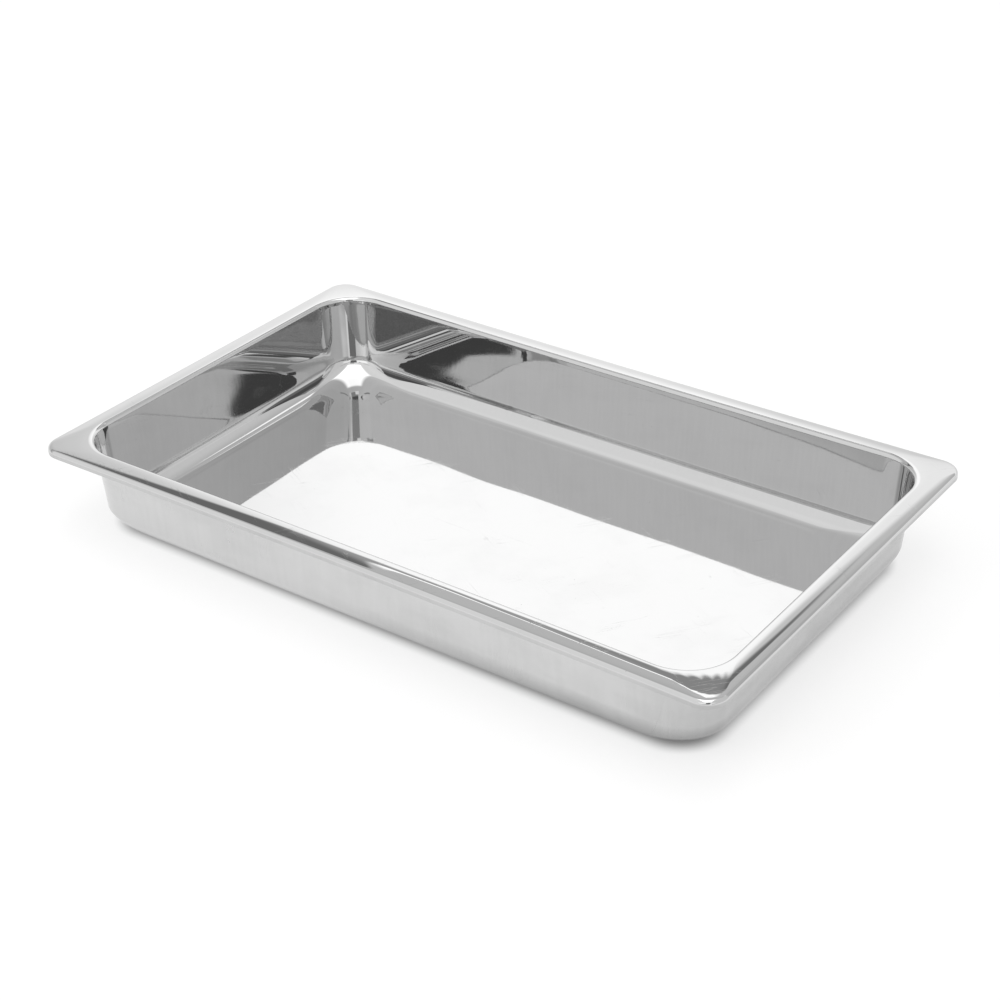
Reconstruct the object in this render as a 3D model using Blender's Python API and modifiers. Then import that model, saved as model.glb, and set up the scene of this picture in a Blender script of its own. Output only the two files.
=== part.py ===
"""Full-size deli food pan, 530 x 325 mm: one sheet of stainless steel, deep drawn, with a crowned rim.

The pan stands on the XY plane with its base centred on the origin. X is its long side, +Z is up.
All sizes are in metres.
"""

import math

import bmesh
import bpy

# Driving dimensions. Every one but SHEET is measured on the upper, inner side of the sheet.
LENGTH = 0.530
WIDTH = 0.325
HEIGHT = 0.0655
SHEET = 0.0008
RIM_CORNER_RADIUS = 0.015
RIM_EDGE_DROP = 0.0062
RIM_EDGE_RADIUS = 0.0028
RIM_WIDTH = 0.0140
RIM_CROWN_RADIUS = 0.060
MOUTH_RADIUS = 0.0028
MOUTH_CORNER_RADIUS = 0.0365
WALL_DRAFT = math.radians(5.2)
WALL_FOOT_CORNER_RADIUS = 0.0290
FILLET_RADIUS = 0.0158
BASE_CORNER_RADIUS = 0.0740
SIDE_BOW = 0.0021
BASE_MARGIN = 0.0100

# How finely the curved stretches are divided.
CORNER_STEPS = 10
LONG_SIDE_STEPS = 8
SHORT_SIDE_STEPS = 4
EDGE_STEPS = 5
RIM_STEPS = 3
MOUTH_STEPS = 5
WALL_STEPS = 2
FILLET_STEPS = 8

STEEL_COLOUR = (0.62, 0.62, 0.61, 1.0)
STEEL_ROUGHNESS = 0.10


def clear_scene():
    for obj in list(bpy.data.objects):
        bpy.data.objects.remove(obj)


def rim_stations():
    """The lip, the roll over its top and the slightly crowned rim, as (inset, height, corner radius)."""
    roll, crown = RIM_EDGE_RADIUS, RIM_CROWN_RADIUS
    crown_centre = HEIGHT - crown
    roll_centre = crown_centre + math.sqrt((crown - roll) ** 2 - (RIM_WIDTH - roll) ** 2)
    lean = math.asin((RIM_WIDTH - roll) / (crown - roll))
    stations = [(0.0, HEIGHT - RIM_EDGE_DROP, RIM_CORNER_RADIUS)]
    for step in range(EDGE_STEPS + 1):
        turn = (math.radians(90.0) - lean) * step / EDGE_STEPS
        inset = roll * (1.0 - math.cos(turn))
        stations.append((inset, roll_centre + roll * math.sin(turn), RIM_CORNER_RADIUS - inset))
    start, _, start_radius = stations[-1]
    for step in range(1, RIM_STEPS + 1):
        slope = lean * (1.0 - step / RIM_STEPS)
        inset = RIM_WIDTH - crown * math.sin(slope)
        height = crown_centre + crown * math.cos(slope)
        share = (inset - start) / (RIM_WIDTH - start)
        stations.append((inset, height, start_radius + (MOUTH_CORNER_RADIUS - start_radius) * share))
    return stations


def mouth_stations():
    """The rounding over which the rim turns down into the wall."""
    stations = []
    for step in range(1, MOUTH_STEPS + 1):
        turn = (math.radians(90.0) - WALL_DRAFT) * step / MOUTH_STEPS
        run = MOUTH_RADIUS * math.sin(turn)
        drop = MOUTH_RADIUS * (1.0 - math.cos(turn))
        stations.append((RIM_WIDTH + run, HEIGHT - drop, MOUTH_CORNER_RADIUS - run))
    return stations


def wall_stations(top):
    """The sloping wall under the mouth, down to where the base fillet begins."""
    inset, height, radius = top
    fillet_top = SHEET + FILLET_RADIUS * (1.0 - math.sin(WALL_DRAFT))
    stations = []
    for step in range(1, WALL_STEPS + 1):
        share = step / WALL_STEPS
        drop = (height - fillet_top) * share
        stations.append((inset + drop * math.tan(WALL_DRAFT), height - drop,
                         radius + (WALL_FOOT_CORNER_RADIUS - radius) * share))
    return stations


def fillet_stations(top):
    """The curve from the wall to the base, whose corners open out, and a ring just inside it."""
    inset, _, radius = top
    whole_run = FILLET_RADIUS * math.cos(WALL_DRAFT)
    stations = []
    for step in range(1, FILLET_STEPS + 1):
        turn = WALL_DRAFT + (math.radians(90.0) - WALL_DRAFT) * step / FILLET_STEPS
        run = whole_run - FILLET_RADIUS * math.cos(turn)
        height = SHEET + FILLET_RADIUS * (1.0 - math.sin(turn))
        stations.append((inset + run, height, radius + (BASE_CORNER_RADIUS - radius) * run / whole_run))
    inset, height, radius = stations[-1]
    stations.append((inset + BASE_MARGIN, height, radius - BASE_MARGIN))
    return stations


def pan_stations():
    """Every ring of the pan from the edge of the rim to the base."""
    stations = rim_stations() + mouth_stations()
    stations += wall_stations(stations[-1])
    stations += fillet_stations(stations[-1])
    return stations


def bow_share(inset, height):
    """How much of the long sides' inward bow a ring takes: all of it at the rim, none at the base."""
    if inset <= RIM_WIDTH:
        return 1.0
    return max(height - SHEET, 0.0) / (HEIGHT - SHEET)


def ring(inset, height, radius):
    """A rounded rectangle, inset from the rim's outer edge, as points that run anticlockwise."""
    half_x = LENGTH / 2.0 - inset
    half_y = WIDTH / 2.0 - inset
    corners = ((1, 1, 0), (-1, 1, 90), (-1, -1, 180), (1, -1, 270))
    arcs = []
    for sign_x, sign_y, start in corners:
        centre_x = sign_x * (half_x - radius)
        centre_y = sign_y * (half_y - radius)
        angles = [math.radians(start + 90.0 * i / CORNER_STEPS) for i in range(CORNER_STEPS + 1)]
        arcs.append([(centre_x + radius * math.cos(a), centre_y + radius * math.sin(a)) for a in angles])

    outline = []
    for index, arc in enumerate(arcs):
        outline += arc
        start_x, start_y = arc[-1]
        end_x, end_y = arcs[(index + 1) % 4][0]
        steps = LONG_SIDE_STEPS if index % 2 == 0 else SHORT_SIDE_STEPS
        for step in range(1, steps):
            share = step / steps
            outline.append((start_x + (end_x - start_x) * share, start_y + (end_y - start_y) * share))

    bow = SIDE_BOW * bow_share(inset, height)
    bow_end = LENGTH / 2.0 - RIM_CORNER_RADIUS
    points = []
    for x, y in outline:
        along = max(1.0 - (x / bow_end) ** 2, 0.0)
        points.append((x, y - bow * along * y / half_y, height))
    return points


def pan_surface():
    """The upper side of the sheet: rings joined by quads, closed by the flat of the base."""
    sheet = bmesh.new()
    rings = [[sheet.verts.new(point) for point in ring(*station)] for station in pan_stations()]
    for outer, inner in zip(rings, rings[1:]):
        count = len(outer)
        for i in range(count):
            j = (i + 1) % count
            sheet.faces.new((outer[i], outer[j], inner[j], inner[i]))
    sheet.faces.new(rings[-1])
    mesh = bpy.data.meshes.new("pan")
    sheet.to_mesh(mesh)
    sheet.free()
    return mesh


def stainless_steel():
    material = bpy.data.materials.new("stainless_steel")
    material.use_nodes = True
    shader = material.node_tree.nodes["Principled BSDF"]
    shader.inputs["Base Color"].default_value = STEEL_COLOUR
    shader.inputs["Metallic"].default_value = 1.0
    shader.inputs["Roughness"].default_value = STEEL_ROUGHNESS
    return material


def make_pan(collection):
    pan = bpy.data.objects.new("pan", pan_surface())
    collection.objects.link(pan)
    pan.data.materials.append(stainless_steel())
    pan.data.shade_smooth()

    thickness = pan.modifiers.new("sheet thickness", "SOLIDIFY")
    thickness.thickness = SHEET
    thickness.offset = -1.0
    thickness.use_even_offset = True
    thickness.use_quality_normals = True
    return pan


def main():
    clear_scene()
    collection = bpy.data.collections.new("deli_food_pan")
    bpy.context.scene.collection.children.link(collection)
    make_pan(collection)


main()
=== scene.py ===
"""The deli food pan's looks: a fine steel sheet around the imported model, in a plain pale studio."""

import math

import bmesh
import bpy
from mathutils import Matrix, Vector, noise


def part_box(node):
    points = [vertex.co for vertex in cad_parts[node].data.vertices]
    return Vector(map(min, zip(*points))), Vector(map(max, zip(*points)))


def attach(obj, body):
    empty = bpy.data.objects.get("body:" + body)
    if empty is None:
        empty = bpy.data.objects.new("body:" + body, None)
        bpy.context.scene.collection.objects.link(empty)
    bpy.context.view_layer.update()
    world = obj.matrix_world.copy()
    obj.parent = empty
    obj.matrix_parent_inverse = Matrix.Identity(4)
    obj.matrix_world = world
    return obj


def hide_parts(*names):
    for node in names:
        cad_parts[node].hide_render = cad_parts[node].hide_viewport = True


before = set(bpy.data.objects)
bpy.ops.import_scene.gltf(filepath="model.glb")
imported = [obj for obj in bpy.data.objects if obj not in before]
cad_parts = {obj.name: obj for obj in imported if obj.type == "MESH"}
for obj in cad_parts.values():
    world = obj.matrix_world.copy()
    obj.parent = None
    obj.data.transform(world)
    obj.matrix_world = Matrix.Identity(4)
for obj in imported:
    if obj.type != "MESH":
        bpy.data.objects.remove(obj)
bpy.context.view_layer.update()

# The pan's shape, in metres, on the upper, inner side of the sheet. The outline comes from the frame.
PAN_LOW, PAN_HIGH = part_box("pan")
LENGTH = PAN_HIGH.x - PAN_LOW.x
WIDTH = PAN_HIGH.y - PAN_LOW.y
HEIGHT = PAN_HIGH.z - PAN_LOW.z
SHEET = 0.0008
RIM_CORNER_RADIUS = 0.015
RIM_EDGE_DROP = 0.0062
LIP_EDGE = 0.00005
RIM_EDGE_RADIUS = 0.0028
RIM_WIDTH = 0.0140
RIM_CROWN_RADIUS = 0.060
SHOULDER_RUN = 0.0011
SHOULDER_TURN = math.radians(11.0)
SHOULDER_POWER = 1.5
MOUTH_RADIUS = 0.0028
MOUTH_CORNER_RADIUS = 0.0365
WALL_DRAFT = math.radians(5.2)
WALL_FOOT_CORNER_RADIUS = 0.0290
FILLET_RADIUS = 0.0158
BASE_CORNER_RADIUS = 0.0740
SIDE_BOW = 0.0021

# What a press and years of use leave: a base that rises towards the walls, walls that bulge inwards a
# little, and faint waves and wrinkles.
BASE_RISE = 0.00065
BASE_RISE_RUN = 0.080
BASE_WAVE = 0.00020
BASE_WAVE_LENGTH = 0.055
WALL_BULGE = 0.00020
WALL_WAVE = 0.00005
WALL_WAVE_LENGTH = 0.045
RIM_WAVE = 0.00003
RIM_WAVE_LENGTH = 0.030
WRINKLE_DEPTH = 0.00003
WRINKLE_WAVE_LENGTH = 0.006
WRINKLES_PER_CORNER = 7

# How finely the sheet is divided.
CORNER_STEPS = 40
LONG_SIDE_STEPS = 80
SHORT_SIDE_STEPS = 50
LIP_STEPS = 2
EDGE_STEPS = 12
RIM_STEPS = 14
SHOULDER_STEPS = 8
MOUTH_STEPS = 14
WALL_STEPS = 16
FILLET_STEPS = 26
BASE_STEPS = 32
SMALLEST_RADIUS = 0.0010

# Where each finish of the upper side lies, in metres: (start, end) of a slope, or (from, to, softness).
BASE_FINISH = (SHEET + 0.001, SHEET + 0.006)
WALL_FINISH = (SHEET + 0.003, HEIGHT - 0.001, 0.004)
MOUTH_FINISH = (HEIGHT - 0.0034, HEIGHT - 0.0001, 0.0006)
LIP_FINISH = (HEIGHT - 0.0042, HEIGHT - 0.0030)
LIP_FINISH_INSET = (0.012, 0.008)

# How much light the steel gives back, and how rough it is, before any mark on it.
POLISHED_LEVEL = 0.638
POLISHED_ROUGHNESS = 0.008
SATIN_LEVEL = 0.640
SATIN_ROUGHNESS = 0.17

# How deep the marks in the steel are, in metres.
GRAIN_DEPTH = 1.2e-6
WALL_STREAK_DEPTH = 0.8e-6
MOUTH_RING_DEPTH = 3.0e-6
SCRATCH_DEPTH = 3.0e-6
OUTSIDE_STREAK_DEPTH = 2.8e-6
OUTSIDE_SCUFF_DEPTH = 1.5e-6
OUTSIDE_SCRATCH_DEPTH = 1.2e-6

# The camera, at the photo's viewing angle: it looks down on one long side and one end.
CAMERA_AZIMUTH = math.radians(35.96)
CAMERA_ELEVATION = math.radians(30.57)
CAMERA_ROLL = math.radians(-1.00)
CAMERA_DISTANCE = 1.4500
CAMERA_TARGET = Vector((-0.02749, 0.04255, 0.0))
CAMERA_SENSOR = 36.0
CAMERA_LENS = 73.98
CAMERA_CLIP_END = 200.0

KEY_PLACE = Vector((-1.2, -2.0, 1.9))
KEY_SIZE = 1.6
KEY_ENERGY = 12.0

# The floor is a pale sheet that glows a little, and less in a rounded rectangle under the pan: a painted
# shadow.
FLOOR_SIZE = 60.0
FLOOR_COLOUR = 0.31
FLOOR_ROUGHNESS = 0.9
FLOOR_GLOW = 0.70
SHADE_GLOW = 0.20 * FLOOR_GLOW
SHADE_HALF_SIZE = (LENGTH / 2.0 - 0.0155, WIDTH / 2.0 - 0.0165)
SHADE_CORNER = 0.040
SHADE_EDGE = (SHADE_CORNER - 0.018, SHADE_CORNER - 0.003)

# What stands round the pan, as rectangles of directions: (from, to, softness) over the top, or up for the
# ledge, and then (from, to, softness) to the right. All are in degrees; see view_angles.
SOFTBOX = ((66.0, 125.0, 5.0), (-12.5, 18.0, 6.0))
SOFTBOX_LEVEL = 1.45
LAMP = ((57.0, 61.0, 0.7), (24.0, 35.0, 2.5))
LAMP_LEVEL = 1.50
LOW_STRIP = ((132.5, 139.3, 0.8), (-6.0, 17.0, 1.5))
GAP_STRIP_LEVEL = 1.65
LEDGE = ((15.2, 19.1, 0.5), (56.0, 82.0, 2.0))

# The post behind the camera and its arms, in degrees over the top: (from, to, softness), and for the arms'
# lower end a slope (start, end).
POST_HEIGHT = (133.0, 167.5, 1.2)
POST_STEP = (153.45, 156.2, 0.3)
ARMS_END = (151.0, 152.3)
ARMS_BREAK = (136.6, 140.8, 0.4)


# ---------------------------------------------------------------- the sheet

def rim_stations():
    """The lip, the roll over its top and the slightly crowned rim, as (inset, height, corner radius)."""
    roll, crown = RIM_EDGE_RADIUS, RIM_CROWN_RADIUS
    crown_centre = HEIGHT - crown
    roll_centre = crown_centre + math.sqrt((crown - roll) ** 2 - (RIM_WIDTH - roll) ** 2)
    lean = math.asin((RIM_WIDTH - roll) / (crown - roll))
    lip_low = HEIGHT - RIM_EDGE_DROP
    # The ring just over the lower edge keeps the lip's shading flat right down to it.
    stations = [(0.0, lip_low, RIM_CORNER_RADIUS), (0.0, lip_low + LIP_EDGE, RIM_CORNER_RADIUS)]
    for step in range(1, LIP_STEPS):
        height = lip_low + (roll_centre - lip_low) * step / LIP_STEPS
        stations.append((0.0, height, RIM_CORNER_RADIUS))
    for step in range(EDGE_STEPS + 1):
        turn = (math.radians(90.0) - lean) * step / EDGE_STEPS
        inset = roll * (1.0 - math.cos(turn))
        stations.append((inset, roll_centre + roll * math.sin(turn), RIM_CORNER_RADIUS - inset))
    start, _, start_radius = stations[-1]
    for step in range(1, RIM_STEPS + 1):
        share = step / RIM_STEPS
        slope = lean * (1.0 - share)
        inset = RIM_WIDTH - crown * math.sin(slope)
        height = crown_centre + crown * math.cos(slope)
        radius = start_radius + (MOUTH_CORNER_RADIUS - start_radius) * (inset - start) / (RIM_WIDTH - start)
        stations.append((inset, height, radius))
    return stations


def shoulder_stations(top):
    """The soft shoulder with which the rim starts to turn down, in place of its last ring."""
    top_inset, _, top_radius = top
    end_run = MOUTH_RADIUS * math.sin(SHOULDER_TURN)
    end_inset = RIM_WIDTH + end_run
    end_radius = MOUTH_CORNER_RADIUS - end_run
    stations = []
    for step in range(SHOULDER_STEPS + 1):
        share = step / SHOULDER_STEPS
        inset = end_inset - SHOULDER_RUN * (1.0 - share)
        height = HEIGHT - SHOULDER_RUN * math.tan(SHOULDER_TURN) / SHOULDER_POWER * share ** SHOULDER_POWER
        radius = top_radius + (end_radius - top_radius) * (inset - top_inset) / (end_inset - top_inset)
        stations.append((inset, height, radius))
    return stations


def mouth_stations(top):
    """The rounding over which the rim turns down into the wall."""
    _, height, _ = top
    stations = []
    for step in range(1, MOUTH_STEPS + 1):
        turn = SHOULDER_TURN + (math.radians(90.0) - WALL_DRAFT - SHOULDER_TURN) * step / MOUTH_STEPS
        run = MOUTH_RADIUS * math.sin(turn)
        drop = MOUTH_RADIUS * (math.cos(SHOULDER_TURN) - math.cos(turn))
        stations.append((RIM_WIDTH + run, height - drop, MOUTH_CORNER_RADIUS - run))
    return stations


def wall_stations(top):
    """The sloping wall under the mouth, down to where the base fillet begins."""
    inset, height, radius = top
    fillet_top = SHEET + FILLET_RADIUS * (1.0 - math.sin(WALL_DRAFT))
    stations = []
    for step in range(1, WALL_STEPS + 1):
        share = step / WALL_STEPS
        drop = (height - fillet_top) * share
        stations.append((inset + drop * math.tan(WALL_DRAFT), height - drop,
                         radius + (WALL_FOOT_CORNER_RADIUS - radius) * share))
    return stations


def fillet_stations(top):
    """The curve from the wall to the base. The corners open out on the way down."""
    inset, _, radius = top
    whole_run = FILLET_RADIUS * math.cos(WALL_DRAFT)
    stations = []
    for step in range(1, FILLET_STEPS + 1):
        turn = WALL_DRAFT + (math.radians(90.0) - WALL_DRAFT) * step / FILLET_STEPS
        run = whole_run - FILLET_RADIUS * math.cos(turn)
        height = SHEET + FILLET_RADIUS * (1.0 - math.sin(turn)) + BASE_RISE * (run / whole_run) ** 2
        stations.append((inset + run, height, radius + (BASE_CORNER_RADIUS - radius) * run / whole_run))
    return stations


def base_stations(top):
    """Rings across the base, almost to its middle line. The base sinks a little away from the walls."""
    inset, _, radius = top
    middle = WIDTH / 2.0 - 2.0 * SMALLEST_RADIUS - SIDE_BOW
    stations = []
    for step in range(1, BASE_STEPS + 1):
        run = (middle - inset) * step / BASE_STEPS
        height = SHEET + BASE_RISE * max(1.0 - run / BASE_RISE_RUN, 0.0) ** 2
        stations.append((inset + run, height, max(radius - run, SMALLEST_RADIUS)))
    return stations


def pan_stations():
    """Every ring of the pan, from the lower edge of the lip to the middle of the base."""
    stations = rim_stations()[:-1]
    stations += shoulder_stations(stations[-1])
    stations += mouth_stations(stations[-1])
    stations += wall_stations(stations[-1])
    stations += fillet_stations(stations[-1])
    stations += base_stations(stations[-1])
    return stations


def bow_share(inset, height):
    """How much of the long sides' inward bow a ring takes: all of it at the rim, none at the base."""
    if inset <= RIM_WIDTH:
        return 1.0
    return max(height - SHEET, 0.0) / (HEIGHT - SHEET)


def waves(place, length, seed):
    """Smooth waves of about this length, from 0 to 1."""
    return 0.5 + 0.5 * noise.noise(place / length + Vector((seed, 2.0 * seed, 3.0 * seed)))


def worn(x, y, height, inset, corner_turn):
    """Where a point of the ideal sheet lies on the used one, inside the ideal one's outline.

    corner_turn runs from 0 to 1 round a corner, and is None on a straight side.
    """
    place = Vector((x, y, height))
    inward = Vector((-x, -y, 0.0)).normalized()
    if inset <= RIM_WIDTH:
        across = inset / RIM_WIDTH
        fold = math.sin(math.pi * across) ** 2
        sink = RIM_WAVE * waves(place, RIM_WAVE_LENGTH, seed=1.0) * fold
        if corner_turn is not None:
            ripple = 0.5 - 0.5 * math.cos(2.0 * math.pi * WRINKLES_PER_CORNER * corner_turn)
            ripple *= 0.4 + 0.6 * waves(place, WRINKLE_WAVE_LENGTH, seed=4.0)
            near_mouth = math.sin(math.pi * across ** 2) ** 2
            sink += WRINKLE_DEPTH * ripple * near_mouth * math.sin(math.pi * corner_turn)
        return (x, y, height - sink)
    up = min(max((height - SHEET) / (HEIGHT - SHEET), 0.0), 1.0)
    wall = 4.0 * up * (1.0 - up)
    place += (WALL_BULGE + WALL_WAVE * waves(place, WALL_WAVE_LENGTH, seed=7.0)) * wall * inward
    base_wave = BASE_WAVE * waves(Vector((x, y, 0.0)), BASE_WAVE_LENGTH, seed=11.0)
    place.z += base_wave * (1.0 - up) ** 4
    return tuple(place)


def ring(inset, height, radius):
    """A rounded rectangle, inset from the rim's outer edge, as points that run anticlockwise."""
    half_x = LENGTH / 2.0 - inset
    half_y = WIDTH / 2.0 - inset
    corners = ((1, 1, 0), (-1, 1, 90), (-1, -1, 180), (1, -1, 270))
    arcs = []
    for sign_x, sign_y, start in corners:
        centre_x = sign_x * (half_x - radius)
        centre_y = sign_y * (half_y - radius)
        angles = [math.radians(start + 90.0 * i / CORNER_STEPS) for i in range(CORNER_STEPS + 1)]
        arcs.append([(centre_x + radius * math.cos(a), centre_y + radius * math.sin(a)) for a in angles])

    outline = []
    for index, arc in enumerate(arcs):
        outline += [(x, y, i / CORNER_STEPS) for i, (x, y) in enumerate(arc)]
        start_x, start_y = arc[-1]
        end_x, end_y = arcs[(index + 1) % 4][0]
        steps = LONG_SIDE_STEPS if index % 2 == 0 else SHORT_SIDE_STEPS
        for step in range(1, steps):
            share = step / steps
            outline.append((start_x + (end_x - start_x) * share, start_y + (end_y - start_y) * share, None))

    bow = SIDE_BOW * bow_share(inset, height)
    bow_end = LENGTH / 2.0 - RIM_CORNER_RADIUS
    points = []
    for x, y, corner_turn in outline:
        along = max(1.0 - (x / bow_end) ** 2, 0.0)
        points.append(worn(x, y - bow * along * y / half_y, height, inset, corner_turn))
    return points


def pan_surface():
    """The upper side of the sheet: rings joined by quads, closed by a narrow face along the middle line."""
    sheet = bmesh.new()
    rings = [[sheet.verts.new(point) for point in ring(*station)] for station in pan_stations()]
    for outer, inner in zip(rings, rings[1:]):
        count = len(outer)
        for i in range(count):
            j = (i + 1) % count
            sheet.faces.new((outer[i], outer[j], inner[j], inner[i]))
    sheet.faces.new(rings[-1])
    mesh = bpy.data.meshes.new("pan_sheet")
    sheet.to_mesh(mesh)
    sheet.free()
    return mesh


def make_pan():
    """The sheet with its thickness. Its upper side has the first material, the rest the second."""
    pan = bpy.data.objects.new("pan_sheet", pan_surface())
    bpy.context.scene.collection.objects.link(pan)
    pan.data.shade_smooth()
    thickness = pan.modifiers.new("sheet thickness", "SOLIDIFY")
    thickness.thickness = SHEET
    thickness.offset = -1.0
    thickness.use_even_offset = True
    thickness.use_quality_normals = True
    thickness.material_offset = 1
    thickness.material_offset_rim = 1
    return pan


# ---------------------------------------------------------------- materials

class Nodes:
    """Short names for building a node tree."""

    def __init__(self, tree):
        self.tree = tree

    def add(self, kind, **settings):
        node = self.tree.nodes.new(kind)
        for name, value in settings.items():
            setattr(node, name, value)
        return node

    def link(self, source, target):
        self.tree.links.new(source, target)

    def put(self, socket, value):
        if isinstance(value, bpy.types.NodeSocket):
            self.link(value, socket)
        else:
            socket.default_value = value

    def split(self, vector):
        """A vector's x, y and z."""
        node = self.add("ShaderNodeSeparateXYZ")
        self.link(vector, node.inputs[0])
        return tuple(node.outputs)

    def math(self, operation, *values):
        node = self.add("ShaderNodeMath", operation=operation)
        for socket, value in zip(node.inputs, values):
            self.put(socket, value)
        return node.outputs[0]

    def product(self, first, *others):
        for other in others:
            first = self.math("MULTIPLY", first, other)
        return first

    def total(self, first, *others):
        for other in others:
            first = self.math("ADD", first, other)
        return first

    def difference(self, first, second):
        return self.math("SUBTRACT", first, second)

    def ramp(self, value, start, end, low, high, smooth=True):
        """From low, where the value is at start or before it, to high at end."""
        node = self.add("ShaderNodeMapRange")
        node.interpolation_type = "SMOOTHSTEP" if smooth else "LINEAR"
        for name, number in (("Value", value), ("From Min", start), ("From Max", end),
                             ("To Min", low), ("To Max", high)):
            self.put(node.inputs[name], number)
        return node.outputs["Result"]

    def window(self, value, start, end, soft):
        """1 between start and end, 0 outside, with edges this soft."""
        rise = self.ramp(value, start, start + soft, 0.0, 1.0)
        return self.product(rise, self.ramp(value, end - soft, end, 1.0, 0.0))

    def mix(self, share, low, high):
        node = self.add("ShaderNodeMix", data_type="FLOAT")
        self.put(node.inputs["Factor"], share)
        self.put(node.inputs["A"], low)
        self.put(node.inputs["B"], high)
        return node.outputs["Result"]


def stretched(n, place, scale):
    """Coordinates on the pan, scaled by a different amount along each axis."""
    node = n.add("ShaderNodeVectorMath", operation="MULTIPLY")
    n.link(place, node.inputs[0])
    node.inputs[1].default_value = scale
    return node.outputs[0]


def noise_level(n, place, scale, detail=2.0, roughness=0.5):
    """Noise about 0.5, whose grains are 1 / scale long along each axis."""
    node = n.add("ShaderNodeTexNoise")
    n.link(stretched(n, place, scale), node.inputs["Vector"])
    node.inputs["Scale"].default_value = 1.0
    node.inputs["Detail"].default_value = detail
    node.inputs["Roughness"].default_value = roughness
    return node.outputs["Fac"]


def scratches(n, place, angle, spacing, share):
    """Fine straight scratches, one way, with 1 where there is one."""
    turn = n.add("ShaderNodeMapping", vector_type="POINT")
    n.link(place, turn.inputs["Vector"])
    turn.inputs["Rotation"].default_value = (0.0, 0.0, angle)
    line = noise_level(n, turn.outputs[0], (9.0, 1.0 / spacing, 9.0), detail=0.0)
    where = noise_level(n, turn.outputs[0], (22.0, 60.0, 22.0), detail=1.0)
    thin = n.window(line, 0.5 - share, 0.5 + share, share)
    return n.product(thin, n.ramp(where, 0.58, 0.66, 0.0, 1.0))


def crossed_scratches(n, place, *ways):
    """Scratches that run two ways, each way given as (angle, spacing, share)."""
    first, second = [scratches(n, place, *way) for way in ways]
    return n.math("MAXIMUM", first, second)


def specks(n, place, size, share):
    """Round specks of about this spacing, with 1 in each; share is how much of the spacing one fills."""
    node = n.add("ShaderNodeTexVoronoi", feature="F1")
    n.link(place, node.inputs["Vector"])
    node.inputs["Scale"].default_value = 1.0 / size
    inside = n.ramp(node.outputs["Distance"], 0.5 * share, share, 1.0, 0.0)
    chance = n.add("ShaderNodeSeparateColor")
    n.link(node.outputs["Color"], chance.inputs[0])
    return n.product(inside, n.math("GREATER_THAN", chance.outputs[0], 0.6))


def bumped(n, shader, *layers):
    """Bump layers, each a height from 0 to 1 and how deep it is in metres."""
    normal = None
    for height, depth in layers:
        bump = n.add("ShaderNodeBump")
        bump.inputs["Strength"].default_value = 1.0
        bump.inputs["Distance"].default_value = depth
        n.link(height, bump.inputs["Height"])
        if normal is not None:
            n.link(normal, bump.inputs["Normal"])
        normal = bump.outputs[0]
    n.link(normal, shader.inputs["Normal"])


def steel(name):
    """A new metal material, its nodes and shader, and the place on the pan, whole and as x, y and z."""
    material = bpy.data.materials.new(name)
    material.use_nodes = True
    n = Nodes(material.node_tree)
    shader = material.node_tree.nodes["Principled BSDF"]
    shader.inputs["Metallic"].default_value = 1.0
    place = n.add("ShaderNodeTexCoord").outputs["Object"]
    return material, n, shader, place, n.split(place)


def grey(n, shader, level):
    """The same level for red, green and blue."""
    node = n.add("ShaderNodeCombineColor")
    for socket in node.inputs:
        n.put(socket, level)
    n.link(node.outputs[0], shader.inputs["Base Color"])


def outer_face(n, x, y, height):
    """1 on the outer face of the lip, and 0 elsewhere on the upper side."""
    reaches = []
    for axis, size in ((x, LENGTH), (y, WIDTH)):
        start, end = [size / 2.0 - inset for inset in LIP_FINISH_INSET]
        reaches.append(n.ramp(n.math("ABSOLUTE", axis), start, end, 0.0, 1.0))
    return n.product(n.math("MAXIMUM", *reaches), n.ramp(height, *LIP_FINISH, 1.0, 0.0))


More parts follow.
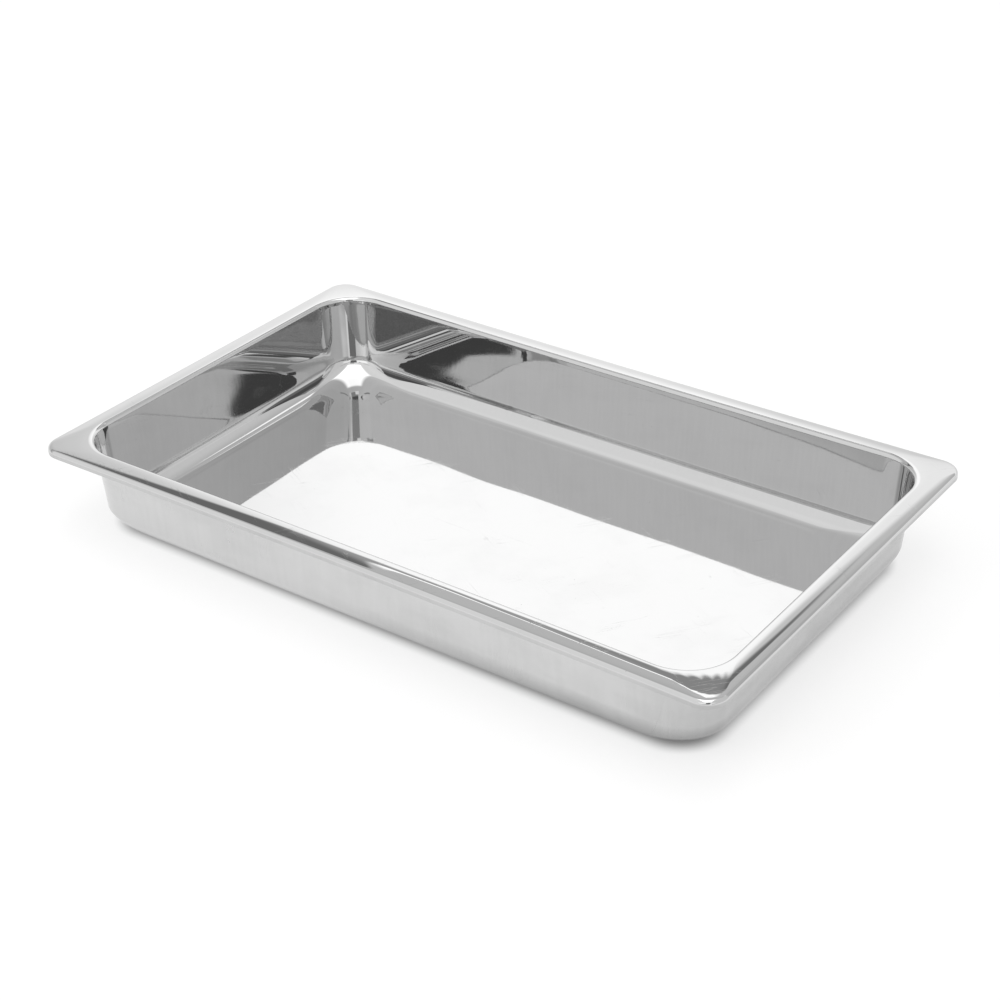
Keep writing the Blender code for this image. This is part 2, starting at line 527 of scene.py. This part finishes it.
def polished_steel():
    """The upper side: bright, with draw streaks on the walls, grain on the base and a worn outer face,
    painted darker at one end as painted shade.
    """
    material, n, shader, place, (x, y, height) = steel("polished_steel")
    on_base = n.ramp(height, *BASE_FINISH, 1.0, 0.0)
    on_wall = n.window(height, *WALL_FINISH)
    at_mouth = n.window(height, *MOUTH_FINISH)
    on_lip = outer_face(n, x, y, height)

    grain = noise_level(n, place, (60.0, 2600.0, 400.0), detail=3.0)
    streaks = noise_level(n, place, (420.0, 420.0, 9.0), detail=3.0)
    rings = noise_level(n, place, (12.0, 12.0, 5200.0), detail=2.0)
    smudges = noise_level(n, place, (16.0, 16.0, 16.0), detail=4.0, roughness=0.6)
    film = noise_level(n, place, (45.0, 45.0, 45.0), detail=3.0)
    lines = crossed_scratches(n, place, (0.5, 0.0016, 0.012), (-0.9, 0.0021, 0.010))
    lines = n.product(lines, n.difference(1.0, on_wall))
    pits = specks(n, place, 0.013, 0.030)

    rough = n.total(POLISHED_ROUGHNESS,
                    n.ramp(smudges, 0.48, 0.72, 0.0, 0.018),
                    n.ramp(film, 0.45, 0.75, 0.0, 0.008),
                    n.product(on_base, grain, 0.030),
                    n.product(on_wall, streaks, 0.012),
                    n.product(lines, 0.10),
                    n.product(pits, 0.20),
                    n.product(on_lip, n.ramp(film, 0.35, 0.65, 0.08, 0.20)))
    n.link(rough, shader.inputs["Roughness"])

    # The outer face is worn in patches, and painted darker towards the +x end as painted shade.
    wear_and_end_shade = n.total(n.ramp(film, 0.40, 0.70, 0.075, 0.115), n.ramp(x, 0.20, 0.25, 0.0, 0.060))
    level = n.total(POLISHED_LEVEL,
                    n.product(on_lip, wear_and_end_shade, -1.0),
                    n.ramp(smudges, 0.45, 0.70, 0.0, -0.018),
                    n.product(pits, -0.22),
                    n.product(lines, -0.05),
                    n.product(on_wall, n.ramp(streaks, 0.3, 0.7, -0.007, 0.007)))
    grey(n, shader, level)

    bumped(n, shader,
           (n.product(on_base, grain), GRAIN_DEPTH),
           (n.product(on_wall, streaks), WALL_STREAK_DEPTH),
           (n.product(at_mouth, rings), MOUTH_RING_DEPTH),
           (n.difference(1.0, lines), SCRATCH_DEPTH))
    return material


def satin_steel():
    """The outside, the lip's edge and the underside: duller, scuffed and scratched, with painted shade at
    one end and at the heel.
    """
    material, n, shader, place, (x, y, height) = steel("satin_steel")
    dull = noise_level(n, place, (14.0, 14.0, 30.0), detail=4.0, roughness=0.6)
    streaks = noise_level(n, place, (300.0, 300.0, 14.0), detail=3.0)
    scuffs = noise_level(n, place, (900.0, 900.0, 900.0), detail=2.0)
    lines = crossed_scratches(n, place, (0.3, 0.0014, 0.014), (-0.7, 0.0023, 0.010))
    pits = specks(n, place, 0.012, 0.035)

    rough = n.total(SATIN_ROUGHNESS,
                    n.ramp(dull, 0.35, 0.70, 0.0, 0.09),
                    n.ramp(streaks, 0.3, 0.7, -0.02, 0.02),
                    n.product(lines, 0.08),
                    n.product(pits, 0.10))
    n.link(rough, shader.inputs["Roughness"])

    # Painted shade: one end is darker than the rest, and the heel is darker towards the bottom, most of all
    # towards that end and the front, as the shade under the pan would look mirrored in it.
    painted_end_shade = n.ramp(x, 0.18, 0.25, 0.0, -0.115)
    painted_heel_shade = n.product(n.ramp(height, 0.0, 0.021, -0.42, 0.0, smooth=False),
                     n.ramp(x, -0.10, 0.16, 0.0, 1.0),
                     n.ramp(y, -0.13, -0.08, 1.0, 0.45))
    # The level takes in the painted shade at the one end and at the heel.
    level = n.total(SATIN_LEVEL,
                    n.ramp(dull, 0.40, 0.70, 0.0, -0.040),
                    n.product(pits, -0.20),
                    painted_end_shade,
                    painted_heel_shade,
                    n.ramp(streaks, 0.3, 0.7, -0.008, 0.008),
                    n.product(lines, -0.02))
    grey(n, shader, level)

    bumped(n, shader,
           (streaks, OUTSIDE_STREAK_DEPTH),
           (scuffs, OUTSIDE_SCUFF_DEPTH),
           (n.difference(1.0, lines), OUTSIDE_SCRATCH_DEPTH))
    return material


# ---------------------------------------------------------------- studio

def floor_paper():
    """Pale paper that glows a little, and less in a rounded rectangle under the pan, as a painted shadow."""
    material = bpy.data.materials.new("floor_paper")
    material.use_nodes = True
    shader = material.node_tree.nodes["Principled BSDF"]
    shader.inputs["Base Color"].default_value = (FLOOR_COLOUR, FLOOR_COLOUR, FLOOR_COLOUR, 1.0)
    shader.inputs["Roughness"].default_value = FLOOR_ROUGHNESS
    shader.inputs["Specular IOR Level"].default_value = 0.0
    shader.inputs["Emission Color"].default_value = (1.0, 1.0, 1.0, 1.0)

    n = Nodes(material.node_tree)
    x, y, _ = n.split(n.add("ShaderNodeTexCoord").outputs["Object"])
    # The glow drops in a rounded rectangle under the pan: a painted shadow.
    squares = []
    for axis, half_size in zip((x, y), SHADE_HALF_SIZE):
        reach = n.difference(n.math("ABSOLUTE", axis), half_size - SHADE_CORNER)
        reach = n.math("MAXIMUM", reach, 0.0)
        squares.append(n.product(reach, reach))
    outside = n.math("SQRT", n.total(*squares))
    n.link(n.ramp(outside, *SHADE_EDGE, SHADE_GLOW, FLOOR_GLOW), shader.inputs["Emission Strength"])
    return material


def make_floor():
    """A flat sheet of paper, which belongs to the studio and not to the pan."""
    bpy.ops.mesh.primitive_plane_add(size=FLOOR_SIZE, location=(0.0, 0.0, 0.0))
    floor = bpy.context.object
    floor.name = "floor"
    floor.data.materials.append(floor_paper())


def make_camera():
    """A camera that looks at its target from an azimuth and an elevation, rolled a little."""
    a, e = CAMERA_AZIMUTH, CAMERA_ELEVATION
    back = Vector((math.sin(a) * math.cos(e), -math.cos(a) * math.cos(e), math.sin(e)))
    right = Vector((0.0, 0.0, 1.0)).cross(back).normalized()
    up = back.cross(right)
    c, s = math.cos(CAMERA_ROLL), math.sin(CAMERA_ROLL)
    rolled_right = c * right + s * up
    rolled_up = -s * right + c * up
    camera = bpy.data.objects.new("camera", bpy.data.cameras.new("camera"))
    camera.data.sensor_width = CAMERA_SENSOR
    camera.data.lens = CAMERA_LENS
    camera.data.clip_end = CAMERA_CLIP_END
    turn = Matrix((rolled_right, rolled_up, back)).transposed()
    camera.matrix_world = Matrix.Translation(CAMERA_TARGET + CAMERA_DISTANCE * back) @ turn.to_4x4()
    bpy.context.scene.collection.objects.link(camera)
    bpy.context.scene.camera = camera


def view_angles(n):
    """A direction's angles, in degrees: over the top from the far side, to the right of the view, and up."""
    x, y, z = n.split(n.add("ShaderNodeTexCoord").outputs["Generated"])
    sine, cosine = math.sin(CAMERA_AZIMUTH), math.cos(CAMERA_AZIMUTH)
    away = n.total(n.product(x, -sine), n.product(y, cosine))
    across = n.total(n.product(x, cosine), n.product(y, sine))
    over = n.product(n.math("ARCTAN2", z, away), 180.0 / math.pi)
    right = n.product(n.math("ARCSINE", across), 180.0 / math.pi)
    elevation = n.product(n.math("ARCSINE", z), 180.0 / math.pi)
    return over, right, elevation


def patch(n, first, second, shape):
    """1 inside a rectangle of directions, 0 outside it."""
    return n.product(n.window(first, *shape[0]), n.window(second, *shape[1]))


def backdrop_level(n, over, right):
    """The bright backdrop on the far side, duller towards its sides and its upper corners."""
    upper_left = n.mix(n.ramp(over, 14.0, 28.0, 0.0, 1.0), 0.95, n.ramp(right, -14.0, -3.0, 0.60, 1.0))
    upper_right = n.mix(n.ramp(right, 8.0, 12.0, 0.0, 1.0), 1.0, n.ramp(over, 36.0, 39.0, 1.0, 0.66))
    left_side = n.ramp(right, -24.0, -12.0, 0.80, 1.0)
    right_side = n.ramp(right, 6.0, 14.0, 1.0, 0.82)
    return n.product(n.ramp(over, 12.0, 30.0, 1.18, 1.50), upper_left, left_side, right_side, upper_right)


def gap_edges(n, right):
    """The edges of the dark gap over the backdrop: it is wide on the left, then thin and slanted."""
    low = n.total(n.ramp(right, -20.0, -9.0, 44.2, 37.4, smooth=False),
                  n.ramp(right, 4.0, 11.0, 0.0, 3.2),
                  n.ramp(right, 14.0, 18.0, 0.0, -2.0))
    high = n.total(n.ramp(right, -13.0, -6.0, 49.0, 39.8),
                   n.ramp(right, -5.0, 0.5, 0.0, 4.3),
                   n.ramp(right, 12.0, 18.0, 0.0, -2.6))
    return low, high


def gap_level(n, right):
    """How bright the gap is: dark at its left end, dark again right of the middle, then fading out."""
    left_part = n.product(n.ramp(right, -11.0, -7.0, 0.20, 0.48), n.ramp(right, -2.0, 2.0, 1.0, 0.74))
    right_part = n.ramp(right, 15.0, 18.5, 0.22, 0.75)
    return n.mix(n.ramp(right, 8.0, 12.0, 0.0, 1.0), left_part, right_part)


def room_level(n, over, right):
    """The ceiling panel, the softbox in it, and the room that glows behind the camera."""
    room = n.ramp(right, -30.0, 25.0, 1.03, 0.84)
    ceiling = n.mix(n.ramp(over, 56.0, 74.0, 0.0, 1.0), n.ramp(over, 48.0, 56.0, 0.70, 0.62), room)
    softbox = n.product(patch(n, over, right, SOFTBOX), SOFTBOX_LEVEL)
    low_edge = n.mix(n.window(right, 9.0, 18.0, 0.8), n.ramp(over, 160.0, 168.0, 1.0, 0.50), 1.05)
    behind = n.product(n.ramp(over, 138.0, 150.0, 1.0, 1.42), low_edge)
    glow = n.mix(n.window(right, -36.0, 36.0, 8.0), 0.96, behind)
    return n.product(n.total(ceiling, softbox), glow)


def gap_strip(n, over, right, gap_high):
    """A thin bright strip just above the gap."""
    top = n.total(gap_high, n.ramp(right, 2.0, 7.0, 1.0, 1.8))
    return n.product(n.math("LESS_THAN", over, top),
                     n.ramp(right, -9.0, -7.0, 0.0, 1.0),
                     n.ramp(right, 7.0, 10.0, 1.0, 0.0))


def post_shape(n, over, right):
    """The post behind the camera: narrow at its top, with one short step in its left side."""
    left_side = n.total(n.ramp(over, 138.9, 139.6, 2.2, -4.05), n.product(n.window(over, *POST_STEP), -1.7))
    right_side = n.ramp(over, 157.0, 162.0, 12.2, 13.1)
    return n.product(n.ramp(n.difference(right, left_side), 0.0, 0.25, 0.0, 1.0),
                     n.ramp(n.difference(right, right_side), 0.0, 0.25, 1.0, 0.0),
                     n.window(over, *POST_HEIGHT))


def arm_shape(n, over, right, tip, root, start, rise, bend, thickness, span):
    """A thin curved arm, whose middle line goes over the top from start, at its tip, by rise at its root."""
    reach = n.ramp(right, tip, root, 0.0, 1.0, smooth=False)
    line = n.total(n.product(n.math("POWER", reach, bend), rise), start)
    return n.product(n.window(n.difference(over, line), *thickness), n.window(right, *span))


def both_arms(n, over, right):
    """The arms on the two sides of the post, each with a break in it."""
    left = arm_shape(n, over, right, tip=-31.0, root=-3.5, start=131.0, rise=22.5, bend=1.6,
                     thickness=(-2.2, 2.2, 0.7), span=(-32.0, -8.5, 1.0))
    other = arm_shape(n, over, right, tip=37.0, root=12.5, start=116.0, rise=35.5, bend=1.3,
                      thickness=(-2.4, 2.2, 0.7), span=(10.0, 33.0, 1.0))
    return n.product(n.math("MAXIMUM", left, other),
                     n.ramp(over, *ARMS_END, 1.0, 0.0),
                     n.difference(1.0, n.window(over, *ARMS_BREAK)))


def make_world():
    """White surroundings: a bright backdrop, a dark gap above it, then a ceiling panel and a room."""
    world = bpy.data.worlds.new("studio")
    world.use_nodes = True
    bpy.context.scene.world = world
    n = Nodes(world.node_tree)
    over, right, elevation = view_angles(n)
    gap_low, gap_high = gap_edges(n, right)

    upper = room_level(n, over, right)
    upper = n.mix(gap_strip(n, over, right, gap_high), upper, GAP_STRIP_LEVEL)
    upper = n.mix(patch(n, over, right, LAMP), upper, LAMP_LEVEL)
    upper = n.mix(patch(n, over, right, LOW_STRIP), upper, n.ramp(right, 2.0, 8.0, 1.40, 1.12))

    # The dark shapes: what stands behind the camera, and a ledge far to the right.
    stand = n.math("MAXIMUM", post_shape(n, over, right), both_arms(n, over, right))
    stand_level = n.total(n.ramp(over, 141.4, 143.0, 0.46, 0.15), n.ramp(over, 155.0, 158.0, 0.0, 0.15))
    upper = n.mix(stand, upper, stand_level)
    upper = n.mix(patch(n, elevation, right, LEDGE), upper, n.ramp(over, 55.5, 59.5, 0.45, 0.88))

    above_gap = n.ramp(n.difference(over, gap_high), -0.25, 0.25, 0.0, 1.0)
    below_gap = n.ramp(n.difference(over, gap_low), -0.9, 0.9, 1.0, 0.0)
    level = n.mix(above_gap, gap_level(n, right), upper)
    level = n.mix(below_gap, level, backdrop_level(n, over, right))
    background = world.node_tree.nodes["Background"]
    background.inputs["Color"].default_value = (1.0, 1.0, 1.0, 1.0)
    n.link(level, background.inputs["Strength"])


def make_key_light():
    """A soft light at the front left. The steel mirrors the surroundings instead of it."""
    light = bpy.data.lights.new("key", "AREA")
    light.shape = "DISK"
    light.size = KEY_SIZE
    light.energy = KEY_ENERGY
    key = bpy.data.objects.new("key", light)
    aim = (CAMERA_TARGET - KEY_PLACE).normalized()
    key.matrix_world = Matrix.Translation(KEY_PLACE) @ aim.to_track_quat("-Z", "Y").to_matrix().to_4x4()
    key.visible_glossy = False
    bpy.context.scene.collection.objects.link(key)


bpy.context.scene.view_settings.view_transform = "Standard"
make_camera()
make_world()
make_key_light()
make_floor()

pan = make_pan()
pan.data.materials.append(polished_steel())
pan.data.materials.append(satin_steel())
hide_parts("pan")
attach(pan, "root")
